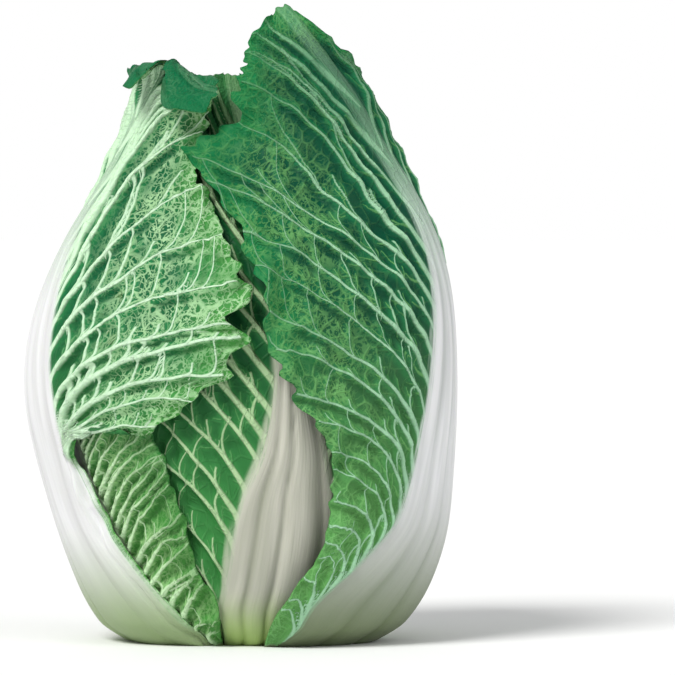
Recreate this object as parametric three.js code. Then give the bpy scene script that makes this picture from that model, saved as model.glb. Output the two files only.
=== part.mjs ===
// A whole head of napa cabbage, standing on its cut base.
//
// A short pointed stem stands in the middle. Eleven leaves grow round it, each one a broad white rib
// that thins out upwards into a crinkled green blade, and a heart of tightly packed young leaves fills
// the middle. Every leaf wraps round the ones below it like a shingle. All of them are cut off level
// at the bottom, and the head stands on that cut.
//
// Millimetres, +Z up. The origin is the middle of the cut stem. The front, where the two big side
// leaves meet, faces -Y. An azimuth is in degrees, 0 at the front and 90 at the right (+X).

import * as THREE from 'three';

const DEGREE = Math.PI / 180;

// The packed leaves lie between two closed surfaces, the outermost layer and the heart.
// Each row is a share of the way up, a radius and a height.
const OUTER_LAYER = [
  [0, 57, 0], [0.035, 74, 11], [0.125, 88, 39], [0.25, 97, 78], [0.38, 102, 119], [0.5, 99, 156],
  [0.61, 88.5, 190], [0.73, 69, 228], [0.836, 55, 261], [0.91, 46, 284], [0.955, 37, 298],
  [0.985, 22, 308], [1, 0, 312],
];
const HEART_LAYER = [
  [0, 20, 0], [0.08, 37, 24], [0.2, 51, 60], [0.35, 60, 103], [0.5, 62, 142], [0.65, 57, 178],
  [0.8, 44, 209], [0.92, 23, 230], [1, 0, 240],
];
const LEAF_ROOM = 40; // depth from the outermost layer to the heart, at the belly
const OUTER_HEIGHT = 312;
const HEART_HEIGHT = 240;

// The head leans to the right at its foot and again at its shoulder
const LEAN = 7;
const LEAN_FROM = 25;
const LEAN_SPAN = 205;

// Slow waves that every layer shares, so that the leaves nest
const WAVE_HEIGHT = 1.5;

// Leaf sections
const BLADE_THICKNESS = 1.4;
const RIB_THICKNESS = 6.2;
const RIB_BULGE = 1.6; // how far a rib stands out of its blade
const RIDGE_HEIGHT = 0.7; // the lengthwise ridges on a rib
const VEIN_HEIGHT = 0.9; // the side veins that stand out of a blade
const MIDDLE_RIB_THICKNESS = 5.5;
const INNER_RIB_THICKNESS = 2.6;
const INNER_RIB_BULGE = 0.5;
const TOUCH_GAP = 0.4; // between the stem and the heart that sits on it

const MATERIALS = {
  outer: { color: 0x2f7a42, roughness: 0.55 },
  middle: { color: 0x5f9a50, roughness: 0.55 },
  inner: { color: 0xc3cf6a, roughness: 0.5 },
  heart: { color: 0xe6d766, roughness: 0.5 },
  stem: { color: 0xe4e6cf, roughness: 0.6 },
};

// A smooth curve through rows of numbers, read at a value of their first column
function curveThrough(rows, at) {
  const last = rows.length - 1;
  const x = THREE.MathUtils.clamp(at, rows[0][0], rows[last][0]);
  let k = 0;
  while (k < last - 1 && x > rows[k + 1][0]) k++;
  const slope = (i, column) => {
    const before = rows[Math.max(i - 1, 0)];
    const after = rows[Math.min(i + 1, last)];
    return (after[column] - before[column]) / (after[0] - before[0]);
  };
  const span = rows[k + 1][0] - rows[k][0];
  const u = (x - rows[k][0]) / span;
  const values = [];
  for (let column = 1; column < rows[0].length; column++) {
    const from = rows[k][column];
    const to = rows[k + 1][column];
    const out = slope(k, column) * span;
    const back = slope(k + 1, column) * span;
    const bend = u * (1 - u) * ((to - from) * (2 * u - 1) + out * (1 - u) - back * u);
    values.push(from + (to - from) * u + bend);
  }
  return values;
}

function lean(height) {
  const shape = (z) => Math.cos(Math.PI * (z - LEAN_FROM) / LEAN_SPAN) ** 2;
  return LEAN * (shape(height) - shape(0));
}

function wave(turn, share) {
  const slow = Math.sin(3 * turn + 5 * share + 0.6) + 0.7 * Math.sin(5 * turn - 8 * share);
  return WAVE_HEIGHT * slow * Math.min(1, share / 0.3);
}

// The height at which a layer of this depth closes over the axis
function layerTop(depth) {
  return THREE.MathUtils.lerp(OUTER_HEIGHT, HEART_HEIGHT, depth / LEAF_ROOM);
}

// The point of the head at an azimuth and a share of the way up, below the outermost layer by depth
function headPoint(azimuth, share, depth) {
  const turn = azimuth * DEGREE;
  const inwards = (depth - wave(turn, share)) / LEAF_ROOM;
  const [outerRadius, outerHeight] = curveThrough(OUTER_LAYER, share);
  const [heartRadius, heartHeight] = curveThrough(HEART_LAYER, share);
  const radius = THREE.MathUtils.lerp(outerRadius, heartRadius, inwards);
  const height = THREE.MathUtils.lerp(outerHeight, heartHeight, inwards);
  return new THREE.Vector3(
    radius * Math.sin(turn) + lean(height),
    -radius * Math.cos(turn),
    height,
  );
}

// Leaf outlines. A rib row is a height on the rib, the rib's azimuth and half its width there.
// A margin row is the height on the rib where a side vein starts, and the azimuth and height at
// which that vein reaches the margin. The before margin is on the side of the smaller azimuths.
// Depths are those of the before margin, the rib and the after margin. A flare leans the top out, a
// roll turns it over from a height on, a notch splits it at an azimuth, and a tuck turns the foot of
// the after margin inwards.
const LEAF_RIGHT = {
  name: 'leaf_right',
  look: 'outer',
  rows: 26,
  depths: [1, 1, 10],
  ruffle: [1.6, 1.2],
  flare: { from: 225, to: 262, out: 3.5 },
  rib: [
    [0, 56, 44], [20, 62, 57], [40, 70, 53], [60, 77, 46], [100, 80, 38], [160, 77, 20],
    [209, 70, 10], [235, 61, 6], [260, 49, 5], [280, 36, 4], [297, 27, 3],
  ],
  before: [
    [0, 6, 0], [10, 8, 13], [22, 12, 26], [38, 19, 41], [55, 24, 62], [72, 25, 80],
    [90, 22, 100], [108, 14, 120], [125, 8, 143], [142, 3, 168], [158, -6, 195],
    [172, -14, 212], [184, -26, 226], [194, -27, 234], [206, -14, 245], [222, -7, 254],
    [240, -5, 265], [258, -3, 275], [275, 1, 284], [288, 9, 290], [297, 19, 295],
  ],
  after: [
    [0, 104, 0], [22, 106, 26], [55, 111, 64], [90, 126, 108], [125, 142, 150], [160, 150, 190],
    [196, 148, 220], [232, 130, 240], [256, 106, 254], [271, 88, 264], [282, 60, 275],
    [290, 44, 285], [297, 36, 293],
  ],
};

const LEAF_LEFT = {
  name: 'leaf_left',
  look: 'outer',
  rows: 22,
  depths: [10, 1, 5],
  ruffle: [1.2, 0.7],
  flare: { from: 236, to: 275, out: 2 },
  roll: { from: 262, radius: 5.5, rows: 6 },
  notch: { azimuth: -40, width: 4, depth: 30, from: 230 },
  tuck: { depth: 4.5, from: 76, to: 100 },
  rib: [
    [0, -67, 41], [20, -72, 45], [60, -81, 38], [100, -82, 36], [160, -78, 24], [209, -76, 12],
    [245, -64, 5], [272, -49, 4], [298, -34, 3],
  ],
  before: [
    [0, -110, 0], [20, -110, 23], [60, -116, 68], [100, -132, 118], [137, -142, 162],
    [168, -146, 196], [202, -140, 222], [234, -122, 240], [256, -98, 256], [270, -78, 266],
    [284, -62, 278], [298, -54, 287],
  ],
  after: [
    [0, -21, 0], [20, -32, 20], [44, -44, 44], [60, -50, 61], [78, -56, 80], [88, -58, 90],
    [94, -50, 101], [98, -38, 104], [103, -27, 99], [110, -17, 106], [118, -9, 116],
    [127, -2, 129], [139, 2, 145], [153, 1, 166], [168, -4, 187], [185, -12, 208],
    [203, -20, 226], [222, -22, 242], [242, -20, 258], [262, -15, 273], [281, -14, 287],
    [298, -18, 299],
  ],
};

const LEAF_FRONT_LEFT = {
  name: 'leaf_front_left',
  look: 'outer',
  rows: 24,
  ribThickness: MIDDLE_RIB_THICKNESS,
  depths: [13, 10.8, 9.8],
  ruffle: [0.4, 1.2],
  rib: [
    [0, -42, 18], [20, -54, 20], [44, -63, 18], [67, -69, 16], [91, -72, 13], [150, -68, 6],
    [200, -58, 3],
  ],
  before: [
    [0, -64, 0], [20, -74, 22], [60, -84, 70], [100, -88, 118], [140, -84, 158], [170, -76, 186],
    [200, -62, 203],
  ],
  after: [
    [0, -17, 0], [10, -14, 16], [17, -17, 27], [25, -21, 38], [34, -20, 52], [44, -22, 70],
    [56, -23, 85], [68, -26, 99], [85, -30, 118], [110, -34, 145], [140, -40, 170],
    [170, -47, 190], [200, -53, 203],
  ],
};

const LEAF_FRONT = {
  name: 'leaf_front',
  look: 'outer',
  rows: 24,
  ribColumns: 10,
  ribThickness: MIDDLE_RIB_THICKNESS,
  depths: [15.5, 14.2, 14.5],
  ruffle: [0.6, 0.4],
  flare: { from: 236, to: 268, out: 5 },
  rib: [
    [0, 8, 19], [15, 7, 24], [27, 9, 25], [49, 12, 25], [67, 14, 22], [87, 17, 16], [117, 17, 9],
    [150, 15, 6.5], [190, 8, 5], [230, -2, 4], [268, -12, 3],
  ],
  before: [
    [0, -26, 0], [12, -29, 20], [25, -38, 42], [45, -50, 72], [70, -60, 105], [100, -66, 145],
    [140, -64, 185], [180, -54, 215], [215, -44, 238], [245, -32, 258], [268, -19, 270],
  ],
  after: [
    [0, 42, 0], [12, 45, 20], [25, 54, 42], [45, 66, 72], [70, 78, 105], [100, 86, 145],
    [140, 84, 185], [180, 68, 212], [215, 40, 232], [245, 6, 252], [268, -8, 268],
  ],
};

// A full, even leaf: as a share of its length, the half spread in degrees and the margin's height
const SPREAD = [
  [0, 37, 0], [0.05, 36, 0.07], [0.12, 40, 0.17], [0.21, 47, 0.28], [0.33, 56, 0.42],
  [0.46, 63, 0.57], [0.59, 64, 0.7], [0.72, 58, 0.82], [0.84, 45, 0.91], [0.94, 23, 0.98],
  [1, 8, 1.01],
];
const RIB_TAPER = [
  [0, 33], [0.08, 39], [0.23, 37], [0.4, 30], [0.57, 16], [0.76, 8], [0.92, 4], [1, 3],
];

// A young leaf that closes over the top of the heart
const HOOD_SPREAD = [
  [0, 42, 0], [0.08, 44, 0.1], [0.2, 54, 0.24], [0.4, 66, 0.47], [0.6, 74, 0.66],
  [0.8, 82, 0.8], [0.92, 92, 0.87], [1, 106, 0.92],
];
const HOOD_RIB_TAPER = [[0, 0.6], [0.1, 0.9], [0.4, 0.7], [0.7, 0.3], [1, 0.12]];

// Turns an even outline into rib and margin rows about a leaf's own azimuth
function evenOutline(azimuth, length, twist, spread, spreadScale, taper, ribScale) {
  const turnAt = (share) => azimuth + twist * share;
  const margin = (side) => spread.map(([share, half, height]) => [
    share * length, turnAt(share) + side * half * spreadScale, height * length,
  ]);
  const rib = taper.map(([share, half]) => [share * length, turnAt(share), half * ribScale]);
  return { rib, before: margin(-1), after: margin(1) };
}

const BACK_LEAVES = [
  {
    name: 'leaf_back', look: 'outer', rows: 24, ribColumns: 8, depths: [1, 1, 1],
    ruffle: [1.6, 1.6], flare: { from: 225, to: 262, out: 5 },
    roll: { from: 252, radius: 6, rows: 4 },
    ...evenOutline(180, 276, 6, SPREAD, 1, RIB_TAPER, 1),
  },
  {
    name: 'leaf_back_left', look: 'middle', rows: 20, depths: [13, 12.5, 17.5], ruffle: [0.8, 0.4],
    ribThickness: MIDDLE_RIB_THICKNESS,
    ...evenOutline(-130, 258, -6, SPREAD, 0.95, RIB_TAPER, 0.8),
  },
  {
    name: 'leaf_back_right', look: 'middle', rows: 20, depths: [18.5, 14.5, 19.8], ruffle: [0.4, 0.8],
    ribThickness: MIDDLE_RIB_THICKNESS,
    ...evenOutline(134, 254, 6, SPREAD, 0.95, RIB_TAPER, 0.8),
  },
];

// The young leaves follow each other round the heart at the golden angle, each a layer deeper
const GOLDEN_ANGLE = 137.5;
const YOUNG_LEAVES = 4;
const FIRST_YOUNG_DEPTH = 22.5;
const YOUNG_LAYER = 4.2;
const PAST_THE_TOP = 0.97;

function youngLeaf(index) {
  const depth = FIRST_YOUNG_DEPTH + index * YOUNG_LAYER;
  const baseRadius = THREE.MathUtils.lerp(OUTER_LAYER[0][1], HEART_LAYER[0][1], depth / LEAF_ROOM);
  const length = layerTop(depth) * PAST_THE_TOP;
  return {
    name: `young_leaf_${index + 1}`,
    look: 'inner',
    rows: 14,
    young: true,
    ribThickness: INNER_RIB_THICKNESS,
    depths: [depth, depth, depth],
    ruffle: [0.3, 0.3],
    ...evenOutline(60 + index * GOLDEN_ANGLE, length, 0, HOOD_SPREAD, 1, HOOD_RIB_TAPER, baseRadius),
  };
}

// Columns across a leaf: wing columns run to 1 at the margin, rib columns from -1 to 1
function leafColumns(leaf) {
  const wing = leaf.young ? [1, 0.8, 0.5, 0.22] : [1, 0.86, 0.66, 0.44, 0.2];
  const ribColumns = leaf.ribColumns ?? (leaf.young ? 4 : 6);
  const rib = Array.from({ length: ribColumns + 1 }, (_, i) => ({ rib: -1 + 2 * i / ribColumns }));
  return [
    ...wing.map((out) => ({ side: -1, out })),
    ...rib,
    ...wing.reverse().map((out) => ({ side: 1, out })),
  ];
}

// How deep the leaf lies at an azimuth: its own depth at the rib, shading over to its margins'
function leafDepth(leaf, ribAzimuth, azimuth) {
  const turn = THREE.MathUtils.euclideanModulo(azimuth - ribAzimuth + 180, 360) - 180;
  const margin = turn < 0 ? leaf.depths[0] : leaf.depths[2];
  const share = THREE.MathUtils.smoothstep(Math.abs(turn), 10, 70);
  return THREE.MathUtils.lerp(leaf.depths[1], margin, share);
}

// The heights on the rib of a leaf's rows, closer together at the bottom and in its roll
function rowHeights(leaf) {
  const length = leaf.rib.at(-1)[0];
  const straight = leaf.roll ? leaf.roll.from : length;
  const heights = [];
  for (let row = 0; row <= leaf.rows; row++) {
    const up = row / leaf.rows;
    heights.push(straight * up * (0.6 + 0.4 * up));
  }
  if (leaf.roll) {
    for (let row = 1; row <= leaf.roll.rows; row++) {
      heights.push(THREE.MathUtils.lerp(straight, length, row / leaf.roll.rows));
    }
  }
  return heights;
}

// A point of a leaf's middle face, leaning out where the leaf's top flares
function layerPoint(leaf, azimuth, share, depth) {
  const point = headPoint(azimuth, share, depth);
  if (leaf.flare) {
    const turn = azimuth * DEGREE;
    const outwards = new THREE.Vector3(Math.sin(turn), -Math.cos(turn), 0);
    const leaning = THREE.MathUtils.smoothstep(point.z, leaf.flare.from, leaf.flare.to);
    point.addScaledVector(outwards, leaf.flare.out * leaning);
  }
  return point;
}

// A point past the line where the top of a leaf rolls outwards: it runs round the roll, then hangs
function rolledPoint(leaf, azimuth, past, depth, top) {
  const line = leaf.roll.from / top;
  const start = layerPoint(leaf, azimuth, line, depth);
  const below = layerPoint(leaf, azimuth, line - 0.01, depth);
  const upwards = start.clone().sub(below).normalize();
  const around = new THREE.Vector3(Math.cos(azimuth * DEGREE), Math.sin(azimuth * DEGREE), 0);
  const outwards = around.cross(upwards).normalize();
  const { radius } = leaf.roll;
  const turn = Math.min(past / radius, Math.PI * 0.9);
  const hanging = past - turn * radius;
  return start
    .addScaledVector(upwards, radius * Math.sin(turn) + hanging * Math.cos(turn))
    .addScaledVector(outwards, radius * (1 - Math.cos(turn)) + hanging * Math.sin(turn));
}

// How far the notch in a leaf's top draws a point down
function notchDrop(leaf, azimuth, height) {
  const { azimuth: middle, width, depth, from } = leaf.notch;
  const near = Math.exp(-(((azimuth - middle) / width) ** 2));
  return depth * near * THREE.MathUtils.smoothstep(height, from, leaf.rib.at(-1)[0]);
}

// One vertex of a leaf's middle face, before its relief. A wing runs evenly from the rib's edge to
// the margin.
function leafPoint(leaf, column, height) {
  const [ribAzimuth, halfWidth] = curveThrough(leaf.rib, height);
  const top = layerTop(leaf.depths[1]);
  const outerRadius = curveThrough(OUTER_LAYER, Math.min(height / top, 1))[0];
  const radius = Math.max(outerRadius - leaf.depths[1], 8);
  const ribTurn = (halfWidth / radius) / DEGREE;
  let azimuth = ribAzimuth + (column.rib ?? column.side) * ribTurn;
  let share = height / top;
  if (column.side !== undefined) {
    const margin = column.side < 0 ? leaf.before : leaf.after;
    const [marginAzimuth, marginHeight] = curveThrough(margin, height);
    azimuth = THREE.MathUtils.lerp(azimuth, marginAzimuth, column.out);
    share = THREE.MathUtils.lerp(share, marginHeight / top, column.out);
  }
  if (leaf.notch) share -= notchDrop(leaf, azimuth, height) / top;
  let depth = leafDepth(leaf, ribAzimuth, azimuth);
  if (leaf.tuck && column.side > 0) {
    const low = 1 - THREE.MathUtils.smoothstep(height, leaf.tuck.from, leaf.tuck.to);
    depth += leaf.tuck.depth * low * column.out ** 2;
  }
  const past = leaf.roll ? share * top - leaf.roll.from : 0;
  if (past > 0) return rolledPoint(leaf, azimuth, past, depth, top);
  return layerPoint(leaf, azimuth, share, depth);
}

// How far a leaf's faces stand out from its middle face there
function leafSection(leaf, column, height, row) {
  const fullThickness = leaf.ribThickness ?? RIB_THICKNESS;
  const bulge = leaf.young ? INNER_RIB_BULGE : RIB_BULGE;
  const up = height / leaf.rib.at(-1)[0];
  const fade = THREE.MathUtils.smoothstep(up, 0.3, 0.95);
  if (column.side === undefined) {
    const across = 1 - Math.abs(column.rib) ** 2.5;
    const ridge = leaf.young ? 0 : RIDGE_HEIGHT * (1 - fade) * Math.cos(column.rib * 3 * Math.PI);
    const relief = bulge * (0.4 + 0.6 * (1 - fade)) * across + ridge * across;
    const thickness = THREE.MathUtils.lerp(BLADE_THICKNESS, fullThickness, (1 - fade) * across);
    return { outside: relief, inside: -thickness };
  }
  const ruffle = leaf.ruffle[column.side < 0 ? 0 : 1] * Math.min(1, up * 4);
  const lift = ruffle * column.out ** 3 * (1 + Math.sin(row * 2.1 + column.side));
  const vein = leaf.young || row % 3 > 0 || row === 0 ? 0 : VEIN_HEIGHT * (1 - column.out ** 4);
  return { outside: lift + vein, inside: lift - BLADE_THICKNESS };
}

// The outward normal at a grid vertex, from its neighbours along and across the leaf
function gridNormal(grid, row, column) {
  const clampRow = (i) => THREE.MathUtils.clamp(i, 0, grid.length - 1);
  const clampColumn = (i) => THREE.MathUtils.clamp(i, 0, grid[0].length - 1);
  const across = grid[row][clampColumn(column + 1)].clone()
    .sub(grid[row][clampColumn(column - 1)]);
  const upwards = grid[clampRow(row + 1)][column].clone()
    .sub(grid[clampRow(row - 1)][column]);
  return across.cross(upwards).normalize();
}

// Closes an outer and an inner face, both grids of the same size, into one body
function closedSheet(outer, inner) {
  const rows = outer.length;
  const columns = outer[0].length;
  const positions = [...outer.flat(), ...inner.flat()].flatMap((p) => [p.x, p.y, p.z]);
  const outside = (row, column) => row * columns + column;
  const inside = (row, column) => rows * columns + outside(row, column);
  const triangles = [];
  const quad = (a, b, c, d) => triangles.push(a, b, c, a, c, d);
  for (let i = 0; i < rows - 1; i++) {
    for (let j = 0; j < columns - 1; j++) {
      quad(outside(i, j), outside(i, j + 1), outside(i + 1, j + 1), outside(i + 1, j));
      triangles.push(inside(i, j), inside(i + 1, j + 1), inside(i, j + 1));
      triangles.push(inside(i, j), inside(i + 1, j), inside(i + 1, j + 1));
    }
  }
  for (let j = 0; j < columns - 1; j++) {
    quad(outside(0, j), inside(0, j), inside(0, j + 1), outside(0, j + 1));
    const top = rows - 1;
    quad(outside(top, j + 1), inside(top, j + 1), inside(top, j), outside(top, j));
  }
  for (let i = 0; i < rows - 1; i++) {
    const far = columns - 1;
    quad(outside(i + 1, 0), inside(i + 1, 0), inside(i, 0), outside(i, 0));
    quad(outside(i, far), inside(i, far), inside(i + 1, far), outside(i + 1, far));
  }
  const geometry = new THREE.BufferGeometry();
  geometry.setAttribute('position', new THREE.Float32BufferAttribute(positions, 3));
  geometry.setIndex(triangles);
  return geometry;
}

function leafGeometry(leaf) {
  const columns = leafColumns(leaf);
  const heights = rowHeights(leaf);
  const middle = heights.map((height) => columns.map((column) => leafPoint(leaf, column, height)));
  const faces = { outside: [], inside: [] };
  middle.forEach((points, row) => {
    const normals = points.map((_, j) => gridNormal(middle, row, j));
    const sections = columns.map((column) => leafSection(leaf, column, heights[row], row));
    for (const side of ['outside', 'inside']) {
      faces[side].push(points.map((point, j) => {
        const moved = point.clone().addScaledVector(normals[j], sections[j][side]);
        if (row === 0) moved.z = 0;
        return moved;
      }));
    }
  });
  return closedSheet(faces.outside, faces.inside);
}

// The stem: a pointed stump, level where it was cut
const STEM_PROFILE = [
  [0, 0], [18, 0], [24, 9], [30, 20], [31, 27], [24, 42], [13, 56], [5, 63], [0, 65],
];

function stemGeometry() {
  const points = STEM_PROFILE.map(([radius, height]) => new THREE.Vector2(radius, height));
  const geometry = new THREE.LatheGeometry(points, 24);
  geometry.rotateX(Math.PI / 2);
  return geometry;
}

// The heart: packed young leaves, whose edges wind up round it as low steps, over a hollow foot
// that fits the stem
const HEART_ROWS = 15;
const HEART_COLUMNS = 30;
const HEART_START = 0.105;
const EDGE_STEPS = 3;
const EDGE_HEIGHT = 2.4;

function heartGeometry() {
  const positions = [];
  const triangles = [];
  const ring = (pointAt) => {
    for (let j = 0; j < HEART_COLUMNS; j++) positions.push(...pointAt(j / HEART_COLUMNS).toArray());
  };
  for (let i = 0; i < HEART_ROWS; i++) {
    const share = THREE.MathUtils.lerp(HEART_START, 0.985, (i / (HEART_ROWS - 1)) ** 0.9);
    ring((turn) => {
      const winding = (turn * EDGE_STEPS + share * 1.5) % 1;
      const crinkle = Math.sin(turn * 10 * Math.PI + share * 20) * share;
      const depth = LEAF_ROOM + 0.3 + EDGE_HEIGHT * winding + 0.5 * crinkle;
      return headPoint(turn * 360, share, depth);
    });
  }
  const socket = STEM_PROFILE.slice(5, -1).reverse();
  const socketStart = positions.length / 3;
  socket.forEach(([radius, height]) => ring((turn) => new THREE.Vector3(
    (radius + TOUCH_GAP) * Math.sin(turn * 2 * Math.PI),
    -(radius + TOUCH_GAP) * Math.cos(turn * 2 * Math.PI),
    height + TOUCH_GAP,
  )));
  const top = positions.length / 3;
  positions.push(...headPoint(0, 1, LEAF_ROOM + 1).toArray());
  positions.push(0, 0, STEM_PROFILE.at(-1)[1] + 2 * TOUCH_GAP);
  const around = (start, j) => start + (j % HEART_COLUMNS);
  const band = (below, above) => {
    for (let j = 0; j < HEART_COLUMNS; j++) {
      triangles.push(around(below, j), around(below, j + 1), around(above, j + 1));
      triangles.push(around(below, j), around(above, j + 1), around(above, j));
    }
  };
  for (let i = 0; i < HEART_ROWS - 1; i++) band(i * HEART_COLUMNS, (i + 1) * HEART_COLUMNS);
  const lastRing = (HEART_ROWS - 1) * HEART_COLUMNS;
  for (let j = 0; j < HEART_COLUMNS; j++) {
    triangles.push(around(lastRing, j), around(lastRing, j + 1), top);
    triangles.push(around(socketStart, j + 1), around(socketStart, j), top + 1);
  }
  for (let i = 0; i < socket.length - 1; i++) {
    band(socketStart + i * HEART_COLUMNS, socketStart + (i + 1) * HEART_COLUMNS);
  }
  band(socketStart + (socket.length - 1) * HEART_COLUMNS, 0);
  const geometry = new THREE.BufferGeometry();
  geometry.setAttribute('position', new THREE.Float32BufferAttribute(positions, 3));
  geometry.setIndex(triangles);
  return geometry;
}

const cabbage = new THREE.Group();

function addPiece(name, look, geometry) {
  const piece = new THREE.Mesh(geometry, new THREE.MeshStandardMaterial({
    ...MATERIALS[look], metalness: 0,
  }));
  piece.name = name;
  cabbage.add(piece);
}

const youngLeaves = Array.from({ length: YOUNG_LEAVES }, (_, index) => youngLeaf(index));
const leaves = [
  LEAF_RIGHT, LEAF_LEFT, LEAF_FRONT_LEFT, LEAF_FRONT, ...BACK_LEAVES, ...youngLeaves,
];
addPiece('stem', 'stem', stemGeometry());
addPiece('heart', 'heart', heartGeometry());
leaves.forEach((leaf) => addPiece(leaf.name, leaf.look, leafGeometry(leaf)));

export default cabbage;
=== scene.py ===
import math
from types import SimpleNamespace
import bmesh
import bpy
import numpy as np
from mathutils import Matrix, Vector
from mathutils.kdtree import KDTree


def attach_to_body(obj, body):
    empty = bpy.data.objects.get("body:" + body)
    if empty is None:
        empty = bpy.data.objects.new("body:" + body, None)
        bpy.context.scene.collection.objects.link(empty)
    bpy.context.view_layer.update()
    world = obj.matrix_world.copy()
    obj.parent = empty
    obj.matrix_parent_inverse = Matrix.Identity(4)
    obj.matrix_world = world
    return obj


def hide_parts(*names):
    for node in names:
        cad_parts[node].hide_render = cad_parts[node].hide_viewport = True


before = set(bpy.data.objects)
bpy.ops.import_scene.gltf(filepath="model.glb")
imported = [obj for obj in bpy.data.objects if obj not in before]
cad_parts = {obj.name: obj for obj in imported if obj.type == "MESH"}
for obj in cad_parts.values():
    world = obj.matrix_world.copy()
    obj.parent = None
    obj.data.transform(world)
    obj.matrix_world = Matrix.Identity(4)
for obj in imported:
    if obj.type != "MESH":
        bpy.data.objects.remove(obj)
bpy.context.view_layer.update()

# Stem
# The short pointed stump that every leaf grows from. It is firm off-white flesh with greener
# specks, and it was cut off level at the bottom. It is turned from a profile.
MM = 0.001
STEM_PROFILE = [
    (0, 0), (17.4, 0), (18, 0.6), (24, 9), (30, 20), (31, 27), (24, 42), (13, 56), (5, 63), (0, 65),
]
STEM_STEPS = 72
STEM_COLOUR = (0.72, 0.74, 0.55, 1)
STEM_SPECKS = (0.50, 0.58, 0.33, 1)
SPECK_SCALE = 420
FLESH_CLOUDS = 60
FLESH_BUMP = 0.0004
MERGE_GAP = 0.01


class Wire:
    """A material's node tree and one of its sockets, on which sums can be written."""

    def __init__(self, tree, socket=None):
        self.tree = tree
        self.socket = socket

    def node(self, kind, sockets, out=0, **settings):
        """Adds a node: its settings first, then the values or links of its sockets."""
        made = self.tree.nodes.new(kind)
        for name, value in settings.items():
            setattr(made, name, value)
        for name, value in sockets.items():
            if isinstance(value, Wire):
                self.tree.links.new(value.socket, made.inputs[name])
            else:
                made.inputs[name].default_value = value
        return Wire(self.tree, made.outputs[out])

    def maths(self, operation, *values):
        return self.node("ShaderNodeMath", dict(enumerate(values)), operation=operation)

    def step(self, low, high):
        """0 below low, 1 above high, smooth between."""
        sockets = {"Value": self, "From Min": low, "From Max": high}
        return self.node("ShaderNodeMapRange", sockets, interpolation_type="SMOOTHSTEP")

    def mix(self, first, second):
        """The first colour where this is 0, the second where it is 1."""
        sockets = {0: self, 6: first, 7: second}
        return self.node("ShaderNodeMix", sockets, out=2, data_type="RGBA")

    def attribute(self, name, out="Fac"):
        return self.node("ShaderNodeAttribute", {}, out=out, attribute_name=name)

    def noise(self, place, scale, detail=2):
        sockets = {"Vector": place, "Scale": scale, "Detail": detail}
        return self.node("ShaderNodeTexNoise", sockets)

    def __add__(self, other):
        return self.maths("ADD", self, other)

    def __sub__(self, other):
        return self.maths("SUBTRACT", self, other)

    def __rsub__(self, other):
        return self.maths("SUBTRACT", other, self)

    def __mul__(self, other):
        return self.maths("MULTIPLY", self, other)

    __radd__ = __add__
    __rmul__ = __mul__


def new_material(name):
    """An empty material with its shader, and a wire to add nodes to it."""
    material = bpy.data.materials.new(name)
    material.use_nodes = True
    tree = material.node_tree
    return material, Wire(tree), tree.nodes["Principled BSDF"].inputs


def join(wire, socket):
    wire.tree.links.new(wire.socket, socket)


def piece_from(bm, name, material, node):
    """Makes a finished piece of a mesh in millimetres: it rides on the root and replaces a node."""
    bmesh.ops.scale(bm, vec=(MM, MM, MM), verts=bm.verts)
    mesh = bpy.data.meshes.new(name)
    bm.to_mesh(mesh)
    bm.free()
    mesh.shade_smooth()
    mesh.materials.append(material)
    piece = bpy.data.objects.new(name, mesh)
    bpy.context.scene.collection.objects.link(piece)
    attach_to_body(piece, "root")
    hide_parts(node)
    return piece


stem_material, start, shader = new_material("stem_flesh")
place = start.node("ShaderNodeTexCoord", {}, out="Object")
speckle = start.noise(place, SPECK_SCALE, 3)
cloud = start.noise(place, FLESH_CLOUDS, 3)
flesh = (speckle * 0.5 + cloud * 0.5).step(0.35, 0.65).mix(STEM_SPECKS, STEM_COLOUR)
join(flesh, shader["Base Color"])
join(start.node("ShaderNodeBump", {"Height": speckle, "Distance": FLESH_BUMP, "Strength": 0.5}),
     shader["Normal"])
shader["Roughness"].default_value = 0.6

bm = bmesh.new()
corners = [bm.verts.new((radius, 0, height)) for radius, height in STEM_PROFILE]
edges = [bm.edges.new(pair) for pair in zip(corners, corners[1:])]
bmesh.ops.spin(bm, geom=corners + edges, axis=(0, 0, 1), cent=(0, 0, 0), steps=STEM_STEPS,
               angle=2 * math.pi, use_merge=True)
bmesh.ops.remove_doubles(bm, verts=bm.verts, dist=MERGE_GAP)
bmesh.ops.recalc_face_normals(bm, faces=bm.faces)
piece_from(bm, "cut_stem", stem_material, "stem")

# Heart
# The dense middle of the head: small yellow leaves packed solid, with their crinkled edges wound round
# each other. It is a closed sheet wrapped round the innermost layer, over the stem's socket.
OUTER_LAYER = [
    (0, 57, 0), (0.035, 74, 11), (0.125, 88, 39), (0.25, 97, 78), (0.38, 102, 119), (0.5, 99, 156),
    (0.61, 88.5, 190), (0.73, 69, 228), (0.836, 55, 261), (0.91, 46, 284), (0.955, 37, 298),
    (0.985, 22, 308), (1, 0, 312),
]
HEART_LAYER = [
    (0, 20, 0), (0.08, 37, 24), (0.2, 51, 60), (0.35, 60, 103), (0.5, 62, 142), (0.65, 57, 178),
    (0.8, 44, 209), (0.92, 23, 230), (1, 0, 240),
]
LEAF_ROOM = 40
OUTER_HEIGHT = 312
HEART_HEIGHT = 240
LEAN = 7
LEAN_FROM = 25
LEAN_SPAN = 205
WAVE_HEIGHT = 1.5
HEART_ROWS = 110
HEART_COLUMNS = 190
HEART_START = 0.105
SOCKET = [(0.4, 66), (5.4, 63.4), (13.4, 56.4), (24.4, 42.4)]
SOCKET_SHARE = 0.1
SOCKET_GAP = 0.3
EDGE_STEPS = 3
EDGE_HEIGHT = 2.4
EDGE_SLANT = 1.5
CRUMPLE = 2.2
CRUMPLE_SIZE = 22
FINE_CRUMPLE = 0.88
FINE_CRUMPLE_SIZE = 9
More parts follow.
